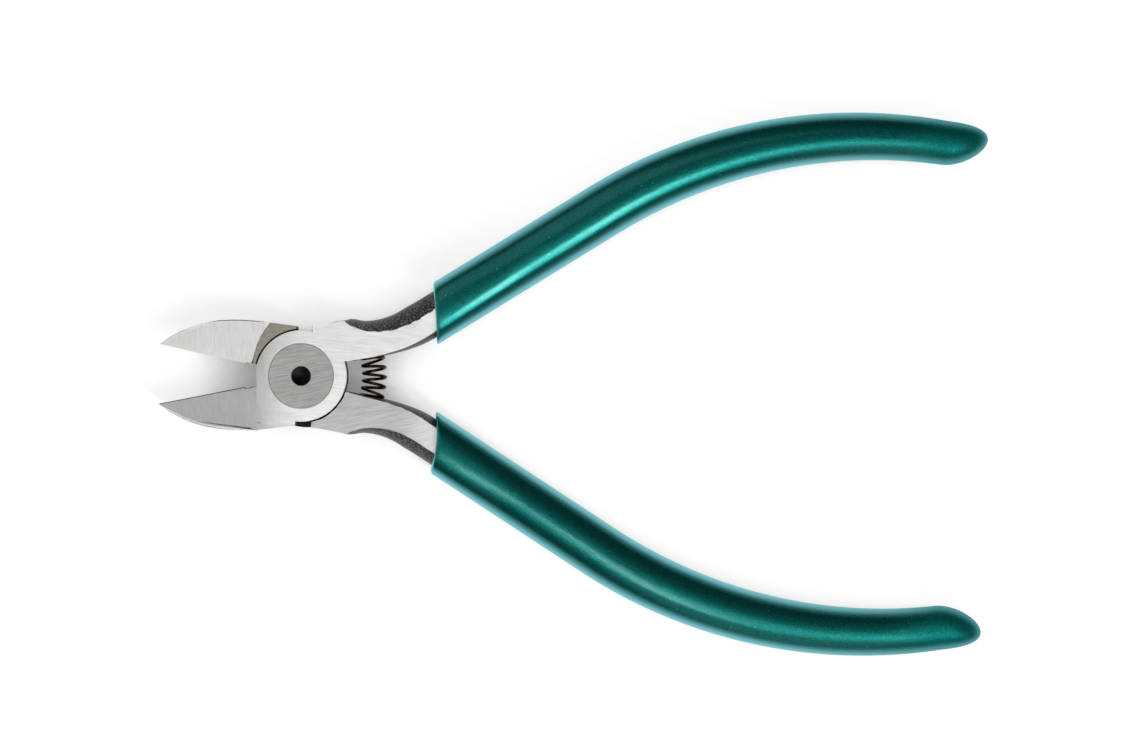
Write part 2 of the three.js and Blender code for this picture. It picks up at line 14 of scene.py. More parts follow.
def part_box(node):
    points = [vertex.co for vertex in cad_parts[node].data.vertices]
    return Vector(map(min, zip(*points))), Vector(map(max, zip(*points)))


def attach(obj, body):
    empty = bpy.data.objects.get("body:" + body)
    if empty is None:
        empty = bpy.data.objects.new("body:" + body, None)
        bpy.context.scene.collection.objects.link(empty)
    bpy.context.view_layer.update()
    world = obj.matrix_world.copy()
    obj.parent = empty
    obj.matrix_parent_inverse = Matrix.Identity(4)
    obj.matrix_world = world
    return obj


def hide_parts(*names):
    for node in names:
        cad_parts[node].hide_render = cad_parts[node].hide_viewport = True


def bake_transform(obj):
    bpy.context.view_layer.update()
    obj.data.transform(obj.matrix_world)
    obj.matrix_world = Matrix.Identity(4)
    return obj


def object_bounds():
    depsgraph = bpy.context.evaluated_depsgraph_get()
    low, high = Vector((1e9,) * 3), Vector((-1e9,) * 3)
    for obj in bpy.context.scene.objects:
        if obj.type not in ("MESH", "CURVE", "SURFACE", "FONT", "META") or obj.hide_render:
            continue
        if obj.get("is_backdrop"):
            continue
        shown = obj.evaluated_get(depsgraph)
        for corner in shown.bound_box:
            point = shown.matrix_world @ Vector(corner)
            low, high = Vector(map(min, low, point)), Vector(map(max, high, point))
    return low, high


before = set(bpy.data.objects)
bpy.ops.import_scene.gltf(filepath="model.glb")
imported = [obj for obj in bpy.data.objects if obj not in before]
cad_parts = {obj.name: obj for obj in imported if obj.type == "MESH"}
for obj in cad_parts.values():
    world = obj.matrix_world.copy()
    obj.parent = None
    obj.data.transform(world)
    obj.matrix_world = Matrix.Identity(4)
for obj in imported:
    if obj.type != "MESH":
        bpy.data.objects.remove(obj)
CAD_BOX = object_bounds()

log = logging.getLogger("side_cutters")

Mesh = bpy.types.Mesh
Object = bpy.types.Object
Material = bpy.types.Material
Socket = bpy.types.NodeSocket
Tree = bpy.types.NodeTree
Edge = bmesh.types.BMEdge
Ring = list[Vector]
Range = tuple[float, float]

MM = 0.001

# The photograph's frame, and where the pivot lies in it
PHOTO_WIDTH_PX = 1134
PHOTO_HEIGHT_PX = 743
PIVOT_PX = (302.2, 375.95)
PX_PER_MM = 6.8
TOOL_TILT_DEG = -0.84

# Sizes that several pieces share, in millimetres
HEAD_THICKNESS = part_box("pivot_rivet")[1].z / MM
MID_HEIGHT = HEAD_THICKNESS / 2


class Body(str, Enum):
    """The two bodies that the pieces ride on."""

    FRONT = "front_arm"
    REAR = "rear_arm"


class Slot(str, Enum):
    """The record's material slots."""

    STEEL = "ground_steel"
    RIVET = "rivet_steel"
    SPRING = "spring_wire"
    VINYL = "green_vinyl"


class HalfFace(IntEnum):
    """The finishes on one half's faces, numbered as its material slots."""

    GROUND = 0
    FORGED = 1
    MILLED = 2
    SCALE = 3
    # Near black: the lap's own blackening, deepened by painted shade in gaps, on the disc's walls and in
    # the rivet's bore
    RECESS = 4
    # Painted paler: a painted highlight along the jaws' rolled backs
    ROLLED = 5


class JawLine(Enum):
    """The two long edges of a jaw's top face."""

    EDGE = "cutting edge"
    BACK = "back"


class RivetFace(IntEnum):
    """The finishes on the rivet, numbered as its material slots."""

    GROUND = 0
    DRILLED = 1


class SleeveFace(IntEnum):
    """The finishes on a sleeve, numbered as its material slots."""

    SKIN = 0
    LIP = 1


# Small helpers


def linear(colour: str) -> tuple[float, float, float, float]:
    """Turns an sRGB hex colour into the linear colour that shaders take.

    Args:
        colour: six hex digits after a hash sign.

    Returns:
        Linear red, green, blue and an alpha of one.
    """
    channels = (int(colour[i : i + 2], 16) / 255 for i in (1, 3, 5))
    red, green, blue = (c / 12.92 if c <= 0.04045 else ((c + 0.055) / 1.055) ** 2.4 for c in channels)
    return (red, green, blue, 1.0)


def smoothstep(value: float, low: float, high: float) -> float:
    """Gives 0 below low, 1 above high and a smooth rise between them."""
    share = min(1.0, max(0.0, (value - low) / (high - low)))
    return share * share * (3 - 2 * share)


def blend(first: float, second: float, share: float) -> float:
    """Gives the value at that share of the way from first to second."""
    return first + (second - first) * share


def even_steps(low: float, high: float, count: int) -> list[float]:
    """Gives count + 1 values from low to high."""
    return [blend(low, high, i / count) for i in range(count + 1)]


def feed(tree: Tree, socket: Socket, value: object) -> None:
    """Sets an input socket to a value, or links another node's output to it."""
    if isinstance(value, Socket):
        tree.links.new(value, socket)
    else:
        socket.default_value = value


def add_node(tree: Tree, kind: str, sockets: dict | None = None, **settings) -> bpy.types.Node:
    """Adds a node with its settings, and sets or links its sockets.

    Args:
        tree: the node tree that gets the node.
        kind: the node's type name.
        sockets: input sockets, by name or number, to a value or to another node's output.
        settings: the node's own properties.

    Returns:
        The new node.
    """
    node = tree.nodes.new(kind)
    for name, value in settings.items():
        setattr(node, name, value)
    for key, value in (sockets or {}).items():
        feed(tree, node.inputs[key], value)
    return node


def map_range(tree: Tree, value: Socket, source: Range, target: Sequence, smooth: bool = True) -> Socket:
    """Maps one range of values onto another, held at its ends.

    Args:
        tree: the node tree that gets the node.
        value: the output to map.
        source: the range that it comes in.
        target: the two ends that it goes to, each a number or an output.
        smooth: whether it eases in and out at the ends.

    Returns:
        The output that gives the mapped value.
    """
    sockets = {
        "Value": value,
        "From Min": source[0],
        "From Max": source[1],
        "To Min": target[0],
        "To Max": target[1],
    }
    kind = "SMOOTHSTEP" if smooth else "LINEAR"
    return add_node(tree, "ShaderNodeMapRange", sockets, interpolation_type=kind).outputs[0]


def link_object(name: str, mesh: Mesh) -> Object:
    """Puts a mesh into the scene as a new object at the origin."""
    piece = bpy.data.objects.new(name, mesh)
    bpy.context.scene.collection.objects.link(piece)
    return piece


def loft(name: str, rings: Sequence[Ring]) -> Mesh:
    """Joins rings of points, all in the same order, into one closed mesh with a fan on each end.

    Args:
        name: the mesh's name.
        rings: rings of the same count of points, in millimetres.

    Returns:
        A smooth-shaded mesh in metres, with its faces pointing outwards.
    """
    sheet = bmesh.new()
    rows = [[sheet.verts.new(point * MM) for point in ring] for ring in rings]
    count = len(rows[0])
    for low, high in zip(rows, rows[1:]):
        for i in range(count):
            sheet.faces.new((low[i], low[(i + 1) % count], high[(i + 1) % count], high[i]))
    for row in (rows[0], rows[-1]):
        middle = sheet.verts.new(sum((vert.co for vert in row), Vector()) / count)
        for i in range(count):
            sheet.faces.new((row[i], row[(i + 1) % count], middle))
    bmesh.ops.recalc_face_normals(sheet, faces=sheet.faces)
    mesh = bpy.data.meshes.new(name)
    sheet.to_mesh(mesh)
    sheet.free()
    mesh.shade_smooth()
    return mesh


# Finishes

# The heights that nearly all of the noise of ground lines lies between
LINE_RANGE = (0.3, 0.7)


class Sheet:
    """A new material with one shader, and the piece's own place in millimetres to draw patterns on."""

    # Numbers of the mix node's sockets
    VALUE_A = 2
    VALUE_B = 3
    COLOUR_A = 6
    COLOUR_B = 7
    COLOUR_RESULT = 2

    def __init__(self, name: str) -> None:
        """Starts a material of that name."""
        self.material: Material = bpy.data.materials.new(name)
        self.material.use_nodes = True
        self.tree = self.material.node_tree
        self.shader = self.tree.nodes["Principled BSDF"]
        metres = {0: self.add("ShaderNodeTexCoord").outputs["Object"], "Scale": 1 / MM}
        self.place = self.add("ShaderNodeVectorMath", metres, operation="SCALE").outputs[0]

    def add(self, kind: str, sockets: dict | None = None, **settings) -> bpy.types.Node:
        """Adds a node to this material's tree."""
        return add_node(self.tree, kind, sockets, **settings)

    def set(self, **sockets) -> None:
        """Sets or links the shader's own sockets, named with underscores for spaces."""
        for name, value in sockets.items():
            feed(self.tree, self.shader.inputs[name.replace("_", " ")], value)

    def mix(self, share: Socket, first: Socket | tuple, second: Socket | tuple) -> Socket:
        """Mixes two colours.

        Args:
            share: how much of the second colour shows.
            first: a colour or an output that gives one.
            second: a colour or an output that gives one.

        Returns:
            The output that gives the mixed colour.
        """
        sockets = {0: share, self.COLOUR_A: first, self.COLOUR_B: second}
        return self.add("ShaderNodeMix", sockets, data_type="RGBA").outputs[self.COLOUR_RESULT]

    def spread(self, value: Socket, source: Range, target: Range = (0.0, 1.0)) -> Socket:
        """Maps one range of values onto another, by default onto shares from none to all."""
        return map_range(self.tree, value, source, target)

    def bump(self, height: Socket, depth_mm: float) -> None:
        """Raises the surface by a height from 0 to 1 times a depth in millimetres."""
        sockets = {"Height": height, "Strength": 1.0, "Distance": depth_mm * MM}
        self.set(Normal=self.add("ShaderNodeBump", sockets).outputs[0])


@dataclass(frozen=True)
class Grain:
    """The lines that a grinding wheel leaves on a flat face.

    Real lines are about 0.05 mm apart, too fine to show, so these are two to six times coarser.
    """

    light: str
    dark: str
    angle_deg: float
    width_mm: float = 0.12
    length_mm: float = 3.0

    def draw(self, sheet: Sheet) -> tuple[Socket, Socket]:
        """Draws the lines along their direction, and returns the outputs of their colour and height."""
        turned = {"Vector": sheet.place, "Rotation": (0.0, 0.0, -math.radians(self.angle_deg))}
        along = sheet.add("ShaderNodeMapping", turned, vector_type="TEXTURE").outputs[0]
        fine = {"Vector": along, "Scale": (1 / self.length_mm, 1 / self.width_mm, 1 / self.width_mm)}
        stretched = sheet.add("ShaderNodeMapping", fine, vector_type="POINT").outputs[0]
        lines = {"Vector": stretched, "Scale": 1.0, "Detail": 3.0, "Roughness": 0.65}
        height = sheet.add("ShaderNodeTexNoise", lines).outputs["Fac"]
        share = sheet.spread(height, LINE_RANGE)
        return sheet.mix(share, linear(self.dark), linear(self.light)), height


@dataclass(frozen=True)
class GroundSteel:
    """Hardened tool steel, surface-ground: bright, with fine parallel lines that blur what it mirrors, and
    a jaw tone that is painted light and shade.
    """

    name: str
    head: Grain
    jaw: Grain
    jaw_range_mm: Range
    roughness: Range
    line_depth_mm: float = 0.006
    pale: str = "#ffffff"
    pale_range_mm: Range = (14.5, 18.5)
    pale_share: float = 0.25

    def material(self) -> Material:
        """Draws the head's grain, which gives way to the jaw's grain and painted tone along X and pales
        towards the grip.
        """
        sheet = Sheet(self.name)
        head_colour, head_height = self.head.draw(sheet)
        # The jaw's colour is painted light and shade: darker on the front jaw, fading in over the head's
        # left side, and brighter on the rear jaw
        jaw_light_and_shade_colour, jaw_height = self.jaw.draw(sheet)
        along = sheet.add("ShaderNodeSeparateXYZ", {0: sheet.place}).outputs["X"]
        on_jaw = sheet.spread(along, self.jaw_range_mm)
        on_tang = sheet.spread(along, self.pale_range_mm, (0.0, self.pale_share))
        head_colour = sheet.mix(on_tang, head_colour, linear(self.pale))
        heights = {0: on_jaw, sheet.VALUE_A: head_height, sheet.VALUE_B: jaw_height}
        height = sheet.add("ShaderNodeMix", heights).outputs[0]
        sheet.set(
            Base_Color=sheet.mix(on_jaw, head_colour, jaw_light_and_shade_colour),
            Metallic=1.0,
            Roughness=sheet.spread(height, LINE_RANGE, self.roughness),
        )
        sheet.bump(height, self.line_depth_mm)
        return sheet.material


@dataclass(frozen=True)
class PlainSteel:
    """Steel with one direction of tool marks: a rivet, milled walls, brown scale, and jaw backs painted
    paler as a highlight.
    """

    name: str
    grain: Grain
    roughness: Range
    line_depth_mm: float = 0.006

    def material(self) -> Material:
        """Draws the tool marks over the whole piece and returns the material."""
        sheet = Sheet(self.name)
        colour, height = self.grain.draw(sheet)
        roughness = sheet.spread(height, LINE_RANGE, self.roughness)
        sheet.set(Base_Color=colour, Metallic=1.0, Roughness=roughness)
        sheet.bump(height, self.line_depth_mm)
        return sheet.material


@dataclass(frozen=True)
class ForgedScale:
    """Forged steel left unground and oil-blackened: nearly black, with a dull grit that glints grey."""

    name: str
    dark: str
    light: str
    grit_mm: float
    grit_depth_mm: float
    roughness: Range
    glint_range: Range = (0.45, 0.75)
    grit_range: Range = (0.35, 0.7)
    metallic: float = 0.7

    def material(self) -> Material:
        """Draws the grit and returns the material."""
        sheet = Sheet(self.name)
        grit = {"Vector": sheet.place, "Scale": 1 / self.grit_mm, "Detail": 3.0, "Roughness": 0.7}
        height = sheet.add("ShaderNodeTexNoise", grit).outputs["Fac"]
        share = sheet.spread(height, self.glint_range)
        sheet.set(
            Base_Color=sheet.mix(share, linear(self.dark), linear(self.light)),
            Metallic=self.metallic,
            Roughness=sheet.spread(height, self.grit_range, self.roughness),
        )
        sheet.bump(height, self.grit_depth_mm)
        return sheet.material


@dataclass(frozen=True)
class TemperedWire:
    """Oil-tempered spring wire, drawn smooth: black oxide with patches of a bronze tint."""

    name: str
    dark: str
    bronze: str
    patch_mm: float
    roughness: float
    patch_range: Range = (0.4, 0.65)

    def material(self) -> Material:
        """Draws the uneven oxide and returns the material."""
        sheet = Sheet(self.name)
        patches = {"Vector": sheet.place, "Scale": 1 / self.patch_mm, "Detail": 2.0}
        height = sheet.add("ShaderNodeTexNoise", patches).outputs["Fac"]
        share = sheet.spread(height, self.patch_range)
        colour = sheet.mix(share, linear(self.dark), linear(self.bronze))
        sheet.set(Base_Color=colour, Metallic=1.0, Roughness=self.roughness)
        return sheet.material


@dataclass(frozen=True)
class PearlVinyl:
    """Dip-moulded soft PVC with pearl pigment: deep green, a satin gloss, fine flecks and pale rims, which
    are the pigment's shift of colour with angle and a painted reflection of the white table.
    """

    name: str
    dark: str
    light: str
    fleck: str
    flop_and_reflection: str
    gloss: str
    grain_mm: float
    grain_depth_mm: float
    fleck_mm: float
    fleck_share: float
    flop_and_reflection_range: Range
    flop_and_reflection_share: Range
    reflection_fade_mm: Range
    metallic: float
    roughness: Range
    coat: Range
    coat_roughness: float
    nose_range_mm: Range
    cloud_range: Range = (0.35, 0.65)
    fleck_range: Range = (0.1, 0.3)

    def material(self) -> Material:
        """Draws the pigment, its pearl grain, the flecks and the pale rims of colour shift and painted
        reflection, all duller towards the nose.
        """
        sheet = Sheet(self.name)
        grains = {"Vector": sheet.place, "Scale": 1 / self.grain_mm, "Detail": 2.0, "Roughness": 0.6}
        height = sheet.add("ShaderNodeTexNoise", grains).outputs["Fac"]
        cloudy = sheet.spread(height, self.cloud_range)
        cloud = sheet.mix(cloudy, linear(self.dark), linear(self.light))
        cells = sheet.add("ShaderNodeTexVoronoi", {"Vector": sheet.place, "Scale": 1 / self.fleck_mm})
        chance = sheet.add("ShaderNodeSeparateColor", {0: cells.outputs["Color"]}).outputs[0]
        few = {0: chance, 1: 1 - self.fleck_share}
        picked = sheet.add("ShaderNodeMath", few, operation="GREATER_THAN").outputs[0]
        near = sheet.spread(cells.outputs["Distance"], self.fleck_range, (1.0, 0.0))
        shown = sheet.add("ShaderNodeMath", {0: picked, 1: near}, operation="MULTIPLY").outputs[0]
        facing = sheet.add("ShaderNodeLayerWeight", {"Blend": 0.5}).outputs["Facing"]
        along = sheet.add("ShaderNodeSeparateXYZ", {0: sheet.place}).outputs["X"]
        # The pale rim at grazing angles is partly the pearl's shift of colour and partly a painted
        # reflection of the white table, painted stronger near the mouth than near the nose
        rim = sheet.spread(facing, self.flop_and_reflection_range)
        reflection_fade = sheet.spread(along, self.reflection_fade_mm, self.flop_and_reflection_share)
        painted_rim_share = sheet.add("ShaderNodeMath", {0: rim, 1: reflection_fade}, operation="MULTIPLY").outputs[0]
        flecked = sheet.mix(shown, cloud, linear(self.fleck))
        sheet.set(
            Base_Color=sheet.mix(painted_rim_share, flecked, linear(self.flop_and_reflection)),
            Metallic=self.metallic,
            Roughness=sheet.spread(along, self.nose_range_mm, self.roughness),
            IOR=1.5,
            Specular_Tint=linear(self.gloss),
            Coat_Weight=sheet.spread(along, self.nose_range_mm, self.coat),
            Coat_Roughness=self.coat_roughness,
        )
        sheet.bump(height, self.grain_depth_mm)
        return sheet.material


# Steel halves

# The number that lets a cut edge keep its neighbours' finish
KEEP_FINISH = -1


def edges_past(sheet: bmesh.types.BMesh, angle_deg: float) -> list[Edge]:
    """Lists the edges whose two faces turn by more than an angle."""
    return [edge for edge in sheet.edges if edge.calc_face_angle(0.0) > math.radians(angle_deg)]


def cut(sheet: bmesh.types.BMesh, edges: list[Edge], width_mm: float, steps: int, finish: int) -> None:
    """Cuts edges back by a width on each side, with a count of steps across and a finish's number."""
    bmesh.ops.bevel(
        sheet,
        geom=edges,
        offset=width_mm * MM,
        offset_type="OFFSET",
        segments=steps,
        profile=0.5,
        affect="EDGES",
        clamp_overlap=False,
        material=finish,
    )


@dataclass
class CutterHalf:
    """One forged half: jaw, lap disc and tang, ground on its flat faces and black on the tang's sides."""

    node: str
    body: Body
    piece_name: str
    ground: GroundSteel
    forged: ForgedScale
    milled: PlainSteel
    scale: PlainSteel
    recess: ForgedScale
    rolled: PlainSteel
    jaw_side: float
    painted_shade_line: JawLine
    # Cuts along its edges
    edge_break_mm: float = 0.06
    rivet_reach_mm: float = 5.2
    crease_deg: Range = (1.0, 20.0)
    crease_mm: float = 0.6
    crease_steps: int = 6
    # A black strip along a jaw line is painted shade, where the wall beside the edge lies in shade
    painted_shade_line_mm: float = 0.12
    painted_shade_back_mm: float = 12.7
    rolled_back_mm: float = 0.4
    rolled_start_mm: float = 8.0
    rolled_steps: int = 4
    tip_reach_mm: float = 19.5
    # Cleaning and shading of the mesh
    merge_mm: float = 0.03
    folded_deg: float = 170.0
    join_deg: float = 0.4
    least_mm: float = 0.001
    sharp_deg: float = 28.0
    flat_deg: float = 3.5
    round_deg: float = 22.0
    # Which face is which
    flat_slope: float = 0.96
    tang_start_mm: float = 1.0
    lap_reach_mm: float = 0.3
    shaded_disc_wall_mm: Range = (6.6, 7.0)
    relief_radius_mm: float = 12.35
    relief_centre_mm: float = 5.0
    crescent_depth_mm: float = 0.35
    jaw_opening_deg: float = 23.6
    jaw_start_mm: float = 7.0
    edge_reach_mm: float = 0.4

    def finish_of(self, centre: Vector, normal: Vector) -> HalfFace:
        """Says which finish a face has, from its middle in millimetres and its outward direction."""
        depth = self.crescent_depth_mm
        crescent = HEAD_THICKNESS - depth if self.jaw_side > 0 else depth
        inside = math.hypot(centre.x - self.relief_centre_mm, centre.y) < self.relief_radius_mm
        if abs(normal.z) > self.flat_slope:
            # Lap faces take the near-black recess finish: partly the lap's own blackening, partly painted
            # shade in the gap between the halves
            if abs(centre.z - MID_HEIGHT) < self.lap_reach_mm:
                return HalfFace.RECESS
            recessed = abs(centre.z - crescent) < self.merge_mm
            return HalfFace.SCALE if recessed and inside and centre.x < 0 else HalfFace.GROUND
        # The disc's walls take it too, as painted shade in the narrow gap round the disc
        if self.shaded_disc_wall_mm[0] < math.hypot(centre.x, centre.y) < self.shaded_disc_wall_mm[1]:
            return HalfFace.RECESS
        return HalfFace.FORGED if centre.x > self.tang_start_mm else HalfFace.MILLED

    def jaw_line(self, edge: Edge) -> JawLine | None:
        """Says which line of the jaw's top face an edge lies on, if it lies on one."""
        middle = sum((vert.co for vert in edge.verts), Vector()) / 2 / MM
        half_opening = math.radians(self.jaw_opening_deg / 2)
        beside = self.jaw_side * middle.y * math.cos(half_opening) + middle.x * math.sin(half_opening)
        on_top = any(face.normal.z > self.flat_slope for face in edge.link_faces)
        if not on_top:
            return None
        if beside < self.edge_reach_mm:
            return JawLine.EDGE if middle.x < -self.jaw_start_mm else None
        return JawLine.BACK if middle.x < -self.back_start_mm() else None

    def back_start_mm(self) -> float:
        """Gives how far out the jaw's back begins: farther on the half whose lap disc lies on top."""
        return self.rolled_start_mm if self.painted_shade_line is JawLine.EDGE else self.jaw_start_mm

    def has_painted_shade_line(self, edge: Edge) -> bool:
        """Says whether an edge gets the black strip of painted shade, which ends short of the tip on a
        back.
        """
        near = all(vert.co.x > -self.painted_shade_back_mm * MM for vert in edge.verts)
        return self.jaw_line(edge) is self.painted_shade_line and (near or self.painted_shade_line is JawLine.EDGE)

    def is_rolled(self, edge: Edge) -> bool:
        """Says whether an edge is a jaw's back that the grinding has rolled over, short of the tip."""
        short = all(vert.co.x > -self.tip_reach_mm * MM for vert in edge.verts)
        return self.jaw_line(edge) is JawLine.BACK and short and not self.has_painted_shade_line(edge)

    def soften(self, sheet: bmesh.types.BMesh) -> None:
        """Rounds the shallow creases where a jaw's ground face runs out into the head."""
        low, high = (math.radians(limit) for limit in self.crease_deg)
        shallow = [
            edge
            for edge in sheet.edges
            if low < edge.calc_face_angle(0.0) < high
            and all(face.material_index == HalfFace.GROUND for face in edge.link_faces)
            and all(face.normal.z > self.flat_slope for face in edge.link_faces)
        ]
        cut(sheet, shallow, self.crease_mm, self.crease_steps, KEEP_FINISH)

    def is_broken(self, place: Vector) -> bool:
        """Says whether a sharp edge is broken at a place in millimetres: not on the jaw or at the rivet."""
        return place.x > -self.jaw_start_mm and math.hypot(place.x, place.y) > self.rivet_reach_mm

    def build(self) -> Object:
        """Copies the half, joins its flat faces, names each face's finish and breaks its sharp edges."""
        sheet = bmesh.new()
        sheet.from_mesh(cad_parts[self.node].data)
        bmesh.ops.remove_doubles(sheet, verts=sheet.verts, dist=self.merge_mm * MM)
        folded = edges_past(sheet, self.folded_deg)
        bmesh.ops.dissolve_edges(sheet, edges=folded, use_verts=True, use_face_split=False)
        join = math.radians(self.join_deg)
        bmesh.ops.dissolve_limit(sheet, angle_limit=join, verts=sheet.verts, edges=sheet.edges)
        for face in sheet.faces:
            face.material_index = self.finish_of(face.calc_center_median() / MM, face.normal)
        self.soften(sheet)
        sharp = edges_past(sheet, self.sharp_deg)
        shade_lined = [edge for edge in sharp if self.has_painted_shade_line(edge)]
        rolled = [edge for edge in sharp if self.is_rolled(edge)]
        plain = [edge for edge in sharp if edge not in shade_lined and edge not in rolled]
        broken = [edge for edge in plain if all(self.is_broken(vert.co / MM) for vert in edge.verts)]
        # The strips of painted shade get the black forged finish, and the rolled backs the paler finish, a
        # painted highlight
        for edges, width, steps, finish in (
            (broken, self.edge_break_mm, 1, KEEP_FINISH),
            (shade_lined, self.painted_shade_line_mm, 1, HalfFace.FORGED),
            (rolled, self.rolled_back_mm, self.rolled_steps, HalfFace.ROLLED),
        ):
            cut(sheet, [edge for edge in edges if edge.is_valid], width, steps, finish)
        bmesh.ops.dissolve_degenerate(sheet, dist=self.least_mm * MM, edges=sheet.edges)
        bmesh.ops.triangulate(sheet, faces=[face for face in sheet.faces if len(face.verts) > 4])
        self.shade(sheet)
        mesh = bpy.data.meshes.new(self.piece_name)
        sheet.to_mesh(mesh)
        sheet.free()
        return link_object(self.piece_name, mesh)

    def shade(self, sheet: bmesh.types.BMesh) -> None:
        """Keeps the ground and scaled faces flat up to their edges, and the other sides round."""
        flat = (HalfFace.GROUND, HalfFace.SCALE)
        for face in sheet.faces:
            face.smooth = True
        for edge in sheet.edges:
            beside_flat = any(face.material_index in flat for face in edge.link_faces)
            limit = self.flat_deg if beside_flat else self.round_deg
            edge.smooth = edge.calc_face_angle(0.0) < math.radians(limit)

    def dress(self, piece: Object) -> None:
        """Gives the half its finishes, and puts it in its node's place."""
        finishes = {
            HalfFace.GROUND: self.ground,
            HalfFace.FORGED: self.forged,
            HalfFace.MILLED: self.milled,
            HalfFace.SCALE: self.scale,
            HalfFace.RECESS: self.recess,
            HalfFace.ROLLED: self.rolled,
        }
        for face in HalfFace:
            piece.data.materials.append(finishes[face].material())
        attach(piece, self.body.value)
        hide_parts(self.node)


# Rivet


@dataclass
class PivotRivet:
    """The turned rivet: a flush ground head with a drilled centre, a shank and a flush countersunk tail."""

    ground: PlainSteel
    # The bore's near black is partly its own oxide and partly painted shade
    drilled: ForgedScale
    head_depth_mm: float = 1.6
    shank_radius_mm: float = 3.1
    tail_radius_mm: float = 3.9
    tail_depth_mm: float = 0.9
    dimple_radius_mm: float = 1.43
    dimple_depth_mm: float = 1.8
    dimple_point_mm: float = 0.7
    edge_break_mm: float = 0.02
    sharp_deg: float = 30.0
    sides: int = 128

    def profile(self) -> list[tuple[float, float]]:
        """Gives the rivet's outline from the tail's rim to the drilled point, as radius and height."""
        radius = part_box("pivot_rivet")[1].x / MM
        seat = HEAD_THICKNESS - self.head_depth_mm
        chip = self.edge_break_mm
        return [
            (self.tail_radius_mm - chip, 0.0),
            (self.tail_radius_mm, chip),
            (self.shank_radius_mm, self.tail_depth_mm),
            (self.shank_radius_mm, seat),
            (radius, seat),
            (radius, HEAD_THICKNESS - chip),
            (radius - chip, HEAD_THICKNESS),
            (self.dimple_radius_mm + chip, HEAD_THICKNESS),
            (self.dimple_radius_mm, HEAD_THICKNESS - chip),
            (self.dimple_radius_mm, HEAD_THICKNESS - self.dimple_depth_mm),
            (chip, HEAD_THICKNESS - self.dimple_depth_mm - self.dimple_point_mm),
        ]

    def build(self) -> Object:
        """Turns the outline round the pivot and marks the drilled faces."""
        turns = [2 * math.pi * i / self.sides for i in range(self.sides)]
        rings = [[Vector((r * math.cos(t), r * math.sin(t), z)) for t in turns] for r, z in self.profile()]
        mesh = loft("pivot_rivet_turned", rings)
        reach = self.dimple_radius_mm + self.edge_break_mm
        for face in mesh.polygons:
            inside = math.hypot(face.center.x, face.center.y) / MM < reach
            above = face.center.z / MM > MID_HEIGHT
            face.material_index = RivetFace.DRILLED if inside and above else RivetFace.GROUND
        mesh.set_sharp_from_angle(angle=math.radians(self.sharp_deg))
        return link_object("pivot_rivet_turned", mesh)

    def dress(self, piece: Object) -> None:
        """Gives the rivet its finishes, and puts it in its node's place."""
        finishes = {RivetFace.GROUND: self.ground, RivetFace.DRILLED: self.drilled}
        for face in RivetFace:
            piece.data.materials.append(finishes[face].material())
        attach(piece, Body.FRONT.value)
        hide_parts("pivot_rivet")


# Sleeves


@dataclass(frozen=True)
class Run:
    """A stretch of the handle's axis: its length, and how far it turns in radians."""

    length_mm: float
    turn: float


@dataclass(frozen=True)
class HandleAxis:
    """The middle line of a handle: a lead, a bend outwards, a straight run and a long bend back."""

    start_x_mm: float = 1.3
    start_y_mm: float = 4.92
    lead_deg: float = 4.0
    lead_mm: float = 6.86
    bend_radius_mm: float = 22.0
    handle_deg: float = 32.45
    straight_mm: float = 30.15
    tail_radius_mm: float = 73.5
    tail_deg: float = -13.1

    def runs(self) -> list[Run]:
        """Gives the stretches in order."""
        bend = math.radians(self.handle_deg - self.lead_deg)
        tail = math.radians(self.tail_deg - self.handle_deg)
        return [
            Run(self.lead_mm, 0.0),
            Run(self.bend_radius_mm * bend, bend),
            Run(self.straight_mm, 0.0),
            Run(self.tail_radius_mm * -tail, tail),
        ]

    def length(self) -> float:
        """Gives the whole length in millimetres."""
        return sum(run.length_mm for run in self.runs())

    def tail_start(self) -> float:
        """Gives where the long bend begins, in millimetres along the axis."""
        return self.length() - self.runs()[-1].length_mm

    def beside(self, distance: float, side: float, height: float) -> Vector:
        """Gives a point beside the axis.

        Args:
            distance: millimetres along the axis.
            side: millimetres outwards from it.
            height: millimetres above the middle of the thickness.

        Returns:
            The point, in millimetres.
        """
        x, y, heading, left = self.start_x_mm, self.start_y_mm, math.radians(self.lead_deg), distance
        for run in self.runs():
            share = min(1.0, max(0.0, left / run.length_mm))
            swing = run.turn * share / 2
            chord = run.length_mm * share * (math.sin(swing) / swing if swing else 1.0)
            x += chord * math.cos(heading + swing)
            y += chord * math.sin(heading + swing)
            heading += 2 * swing
            left -= run.length_mm * share
        return Vector((x - side * math.sin(heading), y + side * math.cos(heading), MID_HEIGHT + height))


